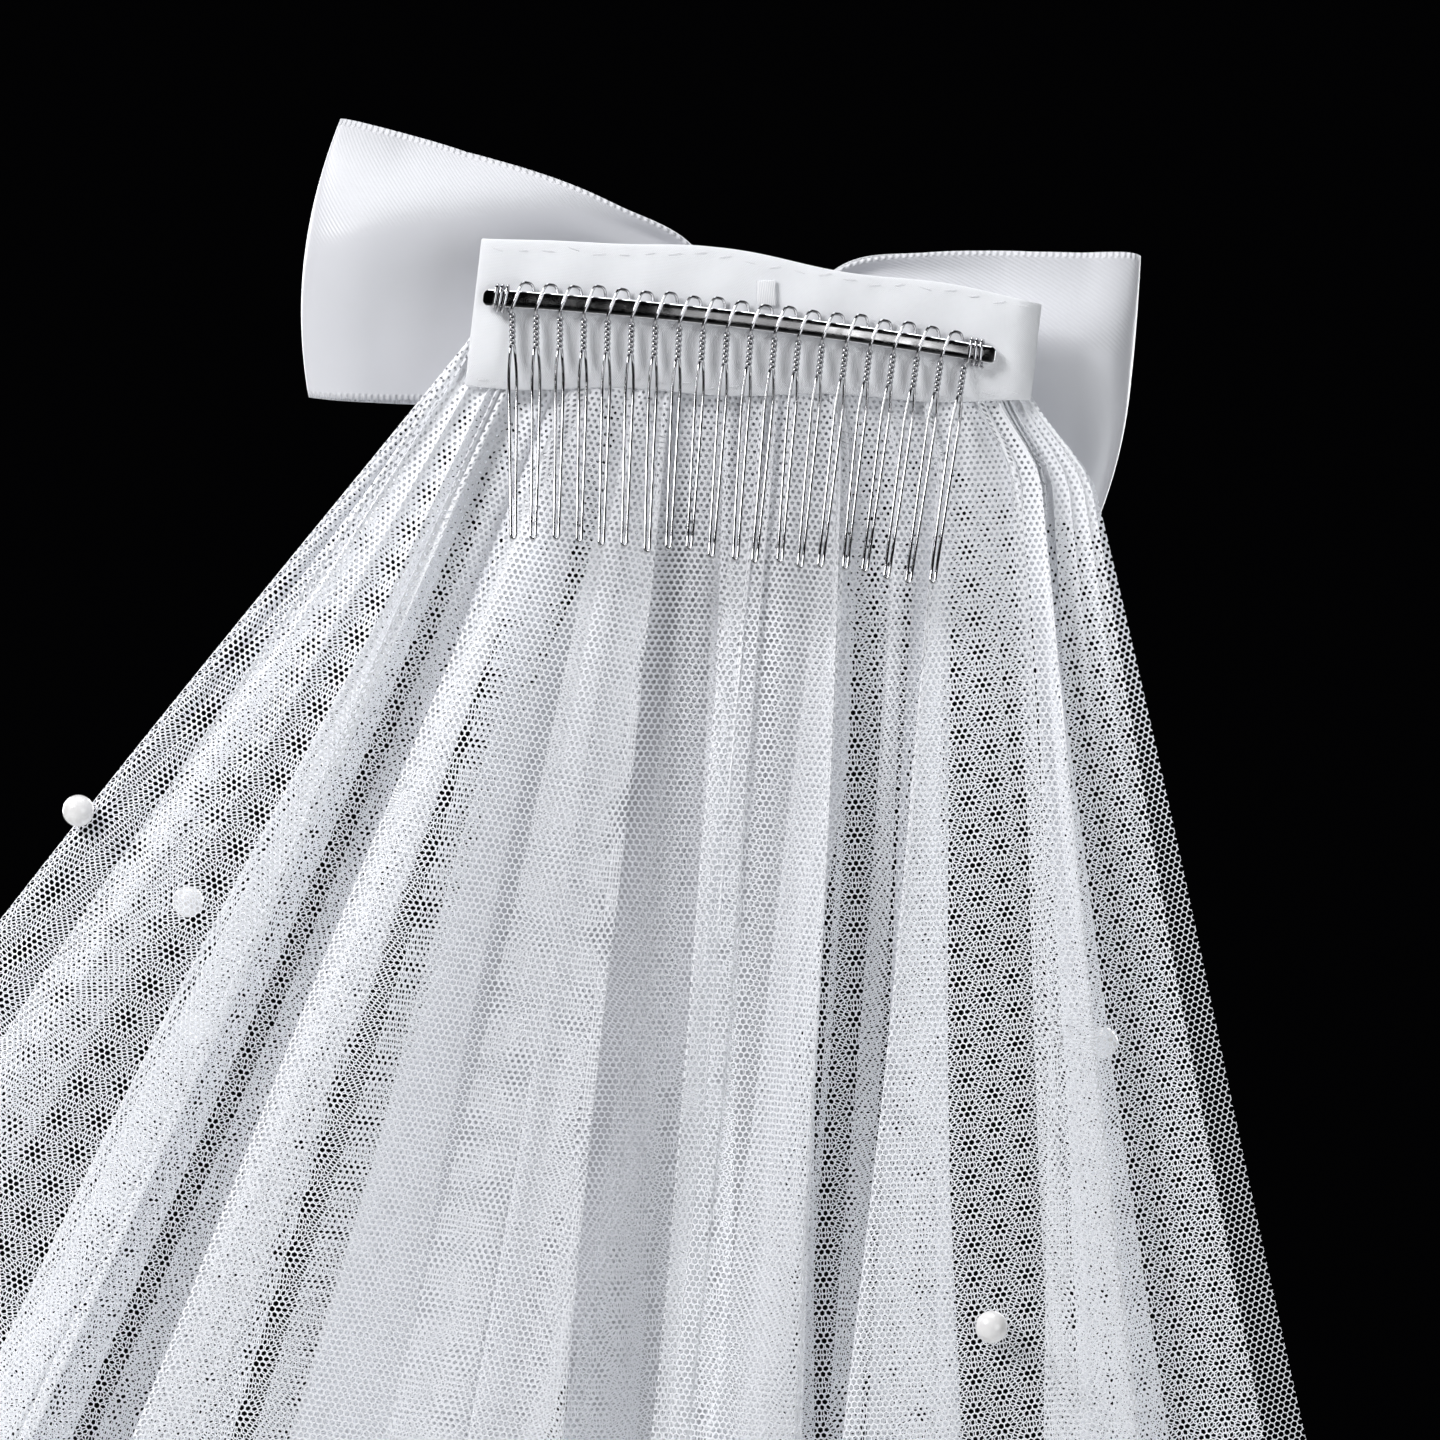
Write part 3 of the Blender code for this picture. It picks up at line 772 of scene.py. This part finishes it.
# A ribbon band round the pinched loops, with the soft folds of a ribbon drawn tight
def makeKnot():
    bm = bmesh.new()
    bmesh.ops.create_circle(bm, cap_ends=False, radius=0.5, segments=72)
    bmesh.ops.rotate(bm, matrix=Matrix.Rotation(math.pi / 2, 3, "Y"), verts=bm.verts)
    inner = (1.0, ribbon["knotDepth"] - ribbon["knotWall"], 0.92 * ribbon["knotHeight"])
    bmesh.ops.scale(bm, vec=inner, verts=bm.verts)
    bmesh.ops.translate(bm, vec=(-ribbon["knotWidth"] / 2, 0.0, 0.0), verts=bm.verts)
    steps = 24
    edges = list(bm.edges)
    for _ in range(steps):
        grown = bmesh.ops.extrude_edge_only(bm, edges=edges)["geom"]
        edges = [item for item in grown if isinstance(item, bmesh.types.BMEdge) and item.is_boundary]
        edges = [edge for edge in edges if all(vert in grown for vert in edge.verts)]
        moved = {vert for edge in edges for vert in edge.verts}
        bmesh.ops.translate(bm, vec=(ribbon["knotWidth"] / steps, 0.0, 0.0), verts=list(moved))
    uv = bm.loops.layers.uv.new("clothMetres")
    for face in bm.faces:
        for loop in face.loops:
            place = loop.vert.co
            loop[uv].uv = (math.atan2(place.z, place.y) * 0.009, place.x)
    for vert in bm.verts:
        share = 2 * vert.co.x / ribbon["knotWidth"]
        angle = math.atan2(vert.co.z, vert.co.y)
        wide = 0.25 + 0.75 * max(0.0, math.cos(angle))  # the folds open at the front
        fold = 0.00050 * wide * math.cos(share * 3.2 * math.pi + 0.8 * math.sin(angle)) - 0.0006 * share * share
        out = Vector((0.0, vert.co.y, vert.co.z)).normalized()
        vert.co += out * fold
        vert.co += Vector((ribbon["knotPlace"], bowPlane + gap + ribbon["knotDepth"] / 2, -0.0006))
    bmesh.ops.recalc_face_normals(bm, faces=bm.faces)
    piece = asPiece("ribbon_knot", bm, satinMaterial("knotSatin", 0.02), "satin", "bow_knot")
    addWall(piece, ribbon["wall"])
    return piece


makeLoop("left")
makeLoop("right")
makeTail("left", 0)
makeTail("middle", 1)
makeKnot()
print("bow made")


# Strip, its tack and its stitches

def stripPoint(u, v):
    high, end = strip["bulge"]
    swell = min(1.0, u / 0.38)
    top = strip["top"][0] + (strip["top"][1] - strip["top"][0]) * u
    top += high * swell * swell * (3 - 2 * swell) + (end - high) * max(0.0, (u - 0.38) / 0.62)
    bottom = strip["bottom"][0] + (strip["bottom"][1] - strip["bottom"][0]) * u
    x = strip["shift"] + (u - 0.5) * strip["width"]
    z = top + (bottom - top) * v
    edge = min(u, 1 - u, 0.25 * v, 0.25 * (1 - v)) * strip["width"]
    puff = 0.00035 * (1 - math.exp(-edge / 0.002))
    soft = 0.00018 * math.sin(u * 41.0 + 2.0 * math.sin(v * 5.0)) * math.sin(math.pi * v)
    z += 0.0004 * math.sin(u * 17.0) * (1 - 2 * v)
    low = max(0.0, (v - 0.72) / 0.28)
    turnedIn = 0.0011 * low * low + 0.0016 * max(0.0, (u - 0.955) / 0.045) ** 2
    return Vector((x, (stripFront + stripBack) / 2 - puff - soft + turnedIn, z))


def makeStrip():
    height = 0.0178
    bm = foldedGrid(
        120, 30, stripPoint, lambda u, v, middle: (u * strip["width"], (0.5 - v) * height)
    )
    piece = asPiece("strip_cloth", bm, stripMaterial(), "strip_satin", "binding_strip")
    addWall(piece, 0.7 * strip["thickness"])
    soften = piece.modifiers.new("soften", "BEVEL")
    soften.width = 0.0003
    soften.segments = 3
    return piece


tack = {"place": (0.0036, 0.0046), "size": (0.0029, 0.0040)}


# The small white end of the binding, folded over and sewn to the strip
def makeTack():
    bm = bmesh.new()
    bmesh.ops.create_cube(bm, size=1.0)
    bmesh.ops.scale(bm, vec=(tack["size"][0], 0.00045, tack["size"][1]), verts=bm.verts)
    bmesh.ops.bevel(
        bm, geom=bm.edges, offset=0.0002, segments=3, profile=0.5, affect="EDGES", material=-1, clamp_overlap=True
    )
    turn = Matrix.Rotation(math.radians(-7.0), 3, "Y")
    bmesh.ops.rotate(bm, matrix=turn, verts=bm.verts)
    place = Vector((tack["place"][0], stripFront - 0.0004, tack["place"][1]))
    bmesh.ops.translate(bm, vec=place, verts=bm.verts)
    return asPiece("strip_tack", bm, threadMaterial(), "strip_satin")


# Hand stitches along the strip's edges, each a short bowed thread
def makeStitches():
    joined = bmesh.new()
    picks = random.Random(5)
    spots = []
    for index in range(22):
        u = 0.03 + 0.94 * index / 21
        spots.append((u, 0.05 + 0.03 * picks.random()))
        spots.append((u, 0.93 + 0.03 * picks.random()))
    for u, v in spots:
        middle = stripPoint(u, v) - Vector((0.0, 0.45 * strip["thickness"], 0.0))
        half = 0.0007 + 0.0003 * picks.random()
        lean = picks.uniform(-0.3, 0.3)
        points = []
        for step in range(6):
            share = 2 * step / 5 - 1
            bow = 0.00006 * (1 - share * share)
            points.append(middle + Vector((half * share, -bow, half * share * lean)))
        thread = wireMesh(points, 0.00006, 6)
        mesh = bpy.data.meshes.new("thread")
        thread.to_mesh(mesh)
        thread.free()
        joined.from_mesh(mesh)
        bpy.data.meshes.remove(mesh)
    return asPiece("strip_stitches", joined, threadMaterial(), "strip_satin")


makeStrip()
makeTack()
makeStitches()
print("strip made")


# Comb

def barHeightAt(x):
    return -comb["barArch"] * (2 * x / comb["barLength"]) ** 2


# The flat bar: a long box, rounded at its ends and edges, then arched
def makeBar():
    bm = bmesh.new()
    bmesh.ops.create_cube(bm, size=1.0)
    size = (comb["barLength"], comb["barThickness"], comb["barHeight"])
    bmesh.ops.scale(bm, vec=size, verts=bm.verts)
    ends = [edge for edge in bm.edges if abs(edge.verts[0].co.y - edge.verts[1].co.y) > 0.0001]
    bmesh.ops.bevel(
        bm, geom=ends, offset=0.0009, segments=5, profile=0.5, affect="EDGES", material=-1, clamp_overlap=True
    )
    long = [edge for edge in bm.edges if abs(edge.verts[0].co.x - edge.verts[1].co.x) > 0.5 * comb["barLength"]]
    bmesh.ops.subdivide_edges(bm, edges=long, cuts=39, use_grid_fill=True)
    rims = [edge for edge in bm.edges if len(edge.link_faces) == 2 and edge.calc_face_angle(0.0) > 1.0]
    bmesh.ops.bevel(
        bm, geom=rims, offset=0.00018, segments=3, profile=0.5, affect="EDGES", material=-1, clamp_overlap=True
    )
    for vert in bm.verts:
        x = vert.co.x
        vert.co.y += 0.00003 * math.sin(260.0 * x + 1.1) * math.cos(math.pi * x / comb["barLength"])
        vert.co.z += barHeightAt(x)
    piece = asPiece("bar_plate", bm, metalMaterial("barSteel", (0.80, 0.80, 0.82), 0.07, 900.0), "comb_metal", "comb_bar")
    piece.data.set_sharp_from_angle(angle=math.radians(20))
    return piece


def toothLine(root, along):
    tip = root * (1 - comb["tipClosing"]) + comb["tipLean"]
    top = barHeightAt(root) - comb["barHeight"] / 2
    y = -comb["toothCurve"] * along**2
    return Vector((root + (tip - root) * along, y, top - comb["toothLength"] * along))


def shankStrand(root, startAngle, goingDown):
    steps = round(comb["shankTurns"] * 14)
    points = []
    for step in range(steps + 1):
        share = step / steps
        angle = startAngle + share * comb["shankTurns"] * math.tau
        depth = comb["wire"] + gap + (comb["shankLength"] - comb["wire"] - gap) * share
        centre = toothLine(root, depth / comb["toothLength"])
        points.append(centre + comb["shankRadius"] * Vector((math.cos(angle), math.sin(angle), 0.0)))
    return points if goingDown else points[::-1]


# Down one leg, round the rounded tip and up the other, each tooth a little different
def hairpin(root, picks):
    lean = picks.uniform(-0.0003, 0.0003)
    longer = picks.uniform(-0.0005, 0.0006)
    shares = [0.20 + 0.77 * step / 16 for step in range(17)]
    left, right = [], []
    for share in shares:
        centre = toothLine(root, share)
        along = (share - 0.20) / 0.77
        opened = min(1.0, along / 0.10)
        wide = comb["legSpread"] + (comb["tipSpread"] - comb["legSpread"]) * along
        half = 0.5 * (0.62 * comb["legSpread"] * (1 - opened) + wide * opened)
        centre += Vector((lean * along * along, 0.0, -longer * along))
        left.append(centre - Vector((half, 0.0, 0.0)))
        right.append(centre + Vector((half, 0.0, 0.0)))
    tip = toothLine(root, 0.97) + Vector((lean, 0.0, -longer))
    radius = comb["tipSpread"] / 2
    turn = [
        tip + Vector((-radius * math.cos(step * math.pi / 8), 0.0, -1.3 * radius * math.sin(step * math.pi / 8)))
        for step in range(1, 8)
    ]
    return left + turn + right[::-1]


def barCorner(x, side, top):
    reach = comb["barHeight"] / 2 + comb["wire"] / 2 + gap
    return Vector((x, side * (wireOffset - 0.00015), barHeightAt(x) + top * reach))


# The same route with smooth bends
def rounded(points, steps):
    rows = [tuple(point) for point in points]
    last = len(rows) - 1
    return [Vector(blend(rows, index / steps)) for index in range(last * steps + 1)]


def endWinding(first, last, picks):
    corners = ((-1, -0.85), (-1, 0.85), (0, 1.12), (1, 0.85), (1, -0.85), (0, -1.12))
    count = 6 * comb["endTurns"]
    points = []
    for step in range(count):
        side, top = corners[step % 6]
        uneven = picks.uniform(-0.00012, 0.00012)
        points.append(barCorner(first + (last - first) * step / count + uneven, side * 1.05, top))
    return rounded(points, 3)


# From a tooth up the hair side of the bar, over it and down behind it to the next tooth
def overBar(root, picks):
    pitch = comb["pitch"]
    uneven = picks.uniform(-0.0002, 0.0002)
    arch = barCorner(root + 0.50 * pitch, 0, 1) + Vector((0.0, 0.0, comb["archRise"] + uneven))
    route = [
        shankStrand(root, -math.pi / 2, False)[-1],
        barCorner(root, -1, -0.8),
        barCorner(root + 0.16 * pitch, -1, 0.5),
        arch + Vector((-0.20 * pitch, -0.0005, -0.0003)),
        arch,
        arch + Vector((0.22 * pitch, 0.0005, -0.0003)),
        barCorner(root + 0.86 * pitch, 1, 0.5),
        barCorner(root + pitch, 1, -0.8),
        shankStrand(root + pitch, math.pi / 2, True)[0],
    ]
    return rounded(route, 4)[1:-1]


def makeWire():
    picks = random.Random(11)
    half = (comb["teeth"] - 1) / 2
    roots = [(index - half) * comb["pitch"] for index in range(comb["teeth"])]
    span = comb["endTurns"] * comb["endPitch"]
    points = endWinding(roots[0] - comb["wire"] - span, roots[0] - comb["wire"], picks)
    for root in roots:
        points += shankStrand(root, math.pi / 2, True)
        points += hairpin(root, picks)
        points += shankStrand(root, -math.pi / 2, False)
        if root != roots[-1]:
            points += overBar(root, picks)
    points += endWinding(roots[-1] + comb["wire"], roots[-1] + comb["wire"] + span, picks)
    bm = wireMesh(points, comb["wire"] / 2, 8)
    return asPiece("wire_teeth", bm, metalMaterial("wireSteel", (0.56, 0.56, 0.58), 0.09, 1400.0), "comb_metal", "comb_wire")


makeBar()
makeWire()
print("comb made")


# Pearls, each where the frame has it

def makePearls():
    material = pearlMaterial()
    names = sorted(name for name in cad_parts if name.startswith("pearl_"))
    for name in names:
        low, high = (Vector(corner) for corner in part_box(name))
        middle = (low + high) / 2
        bm = bmesh.new()
        bmesh.ops.create_uvsphere(bm, u_segments=36, v_segments=20, radius=0.0025)
        for vert in bm.verts:
            dimple = math.exp(-((math.hypot(vert.co.x, vert.co.y) / 0.0004) ** 2))
            vert.co.z -= math.copysign(0.00022 * dimple, vert.co.z)  # the mouths of its thread hole
        bmesh.ops.rotate(bm, matrix=Matrix.Rotation(math.pi / 2, 3, "Y"), verts=bm.verts)
        bmesh.ops.translate(bm, vec=middle, verts=bm.verts)
        asPiece(name.replace("pearl", "bead"), bm, material, "nacre", name)


makePearls()
print("pearls made")


# Stage: floor, lights and camera

stage = {
    "floorBelow": 0.12,
    "floorColour": (0.80, 0.80, 0.79),
    "world": (0.0008, 0.0008, 0.0010),
    "distance": 1.10,
    "width": 0.2232,
    "aim": (0.0039, 0.0, -0.0620),
    "lean": (0.1132, 0.9936),
}

# Soft lights: place, size, power, colour
lights = (
    ("key", (-0.95, -0.70, 0.60), 0.6, 17.5, (0.99, 0.99, 1.0)),
    ("fill", (0.95, -1.10, 0.00), 1.0, 7.5, (0.96, 0.98, 1.0)),
    ("card", (0.041, -1.25, 0.10), (0.034, 0.30), 0.060, (1.0, 1.0, 1.0)),
    ("smallCard", (-0.009, -1.25, 0.10), (0.024, 0.30), 0.014, (1.0, 1.0, 1.0)),
    ("top", (-0.10, 0.10, 1.20), 0.7, 9.0, (0.97, 0.98, 1.0)),
    ("back", (0.60, 1.20, 0.30), 1.0, 12.0, (0.96, 0.98, 1.0)),
    ("backLeft", (-0.80, 1.00, 0.10), 0.8, 10.0, (0.95, 0.97, 1.0)),
)


def makeStage():
    bm = bmesh.new()
    bmesh.ops.create_grid(bm, x_segments=1, y_segments=1, size=4.0)
    bmesh.ops.translate(bm, vec=(0.0, 0.0, cadBox[0][2] - stage["floorBelow"]), verts=bm.verts)
    mesh = bpy.data.meshes.new("floor")
    bm.to_mesh(mesh)
    bm.free()
    look = Nodes("floorPaint")
    look.set(look.shader, "Base Color", (*stage["floorColour"], 1.0))
    look.set(look.shader, "Roughness", 0.8)
    mesh.materials.append(look.material)
    floor = bpy.data.objects.new("floor", mesh)
    bpy.context.scene.collection.objects.link(floor)
    world = bpy.data.worlds.new("studio")
    world.use_nodes = True
    world.node_tree.nodes["Background"].inputs["Color"].default_value = (*stage["world"], 1.0)
    bpy.context.scene.world = world
    aim = Vector((0.0, 0.0, -0.10))
    for name, place, size, power, colour in lights:
        data = bpy.data.lights.new(name, "AREA")
        if isinstance(size, tuple):
            data.shape = "RECTANGLE"
            data.size, data.size_y = size
        else:
            data.shape = "DISK"
            data.size = size
        data.energy = power
        data.color = colour
        lamp = bpy.data.objects.new(name, data)
        lamp.location = place
        lamp.rotation_euler = (aim - Vector(place)).to_track_quat("-Z", "Y").to_euler()
        bpy.context.scene.collection.objects.link(lamp)


def makeCamera():
    data = bpy.data.cameras.new("camera")
    data.sensor_width = 36.0
    data.lens = 36.0 * stage["distance"] / stage["width"]
    data.clip_start = 0.01
    camera = bpy.data.objects.new("camera", data)
    side, up = stage["lean"]
    right = Vector((up, 0.0, side))
    upward = Vector((-side, 0.0, up))
    back = Vector((0.0, -1.0, 0.0))
    turn = Matrix((right, upward, back)).transposed().to_4x4()
    camera.matrix_world = Matrix.Translation(Vector(stage["aim"]) + back * stage["distance"]) @ turn
    bpy.context.scene.collection.objects.link(camera)
    bpy.context.scene.camera = camera


makeStage()
makeCamera()
view = bpy.context.scene
view.view_settings.view_transform = "Standard"
view.cycles.transparent_max_bounces = 64
view.cycles.max_bounces = 10
print("stage made")
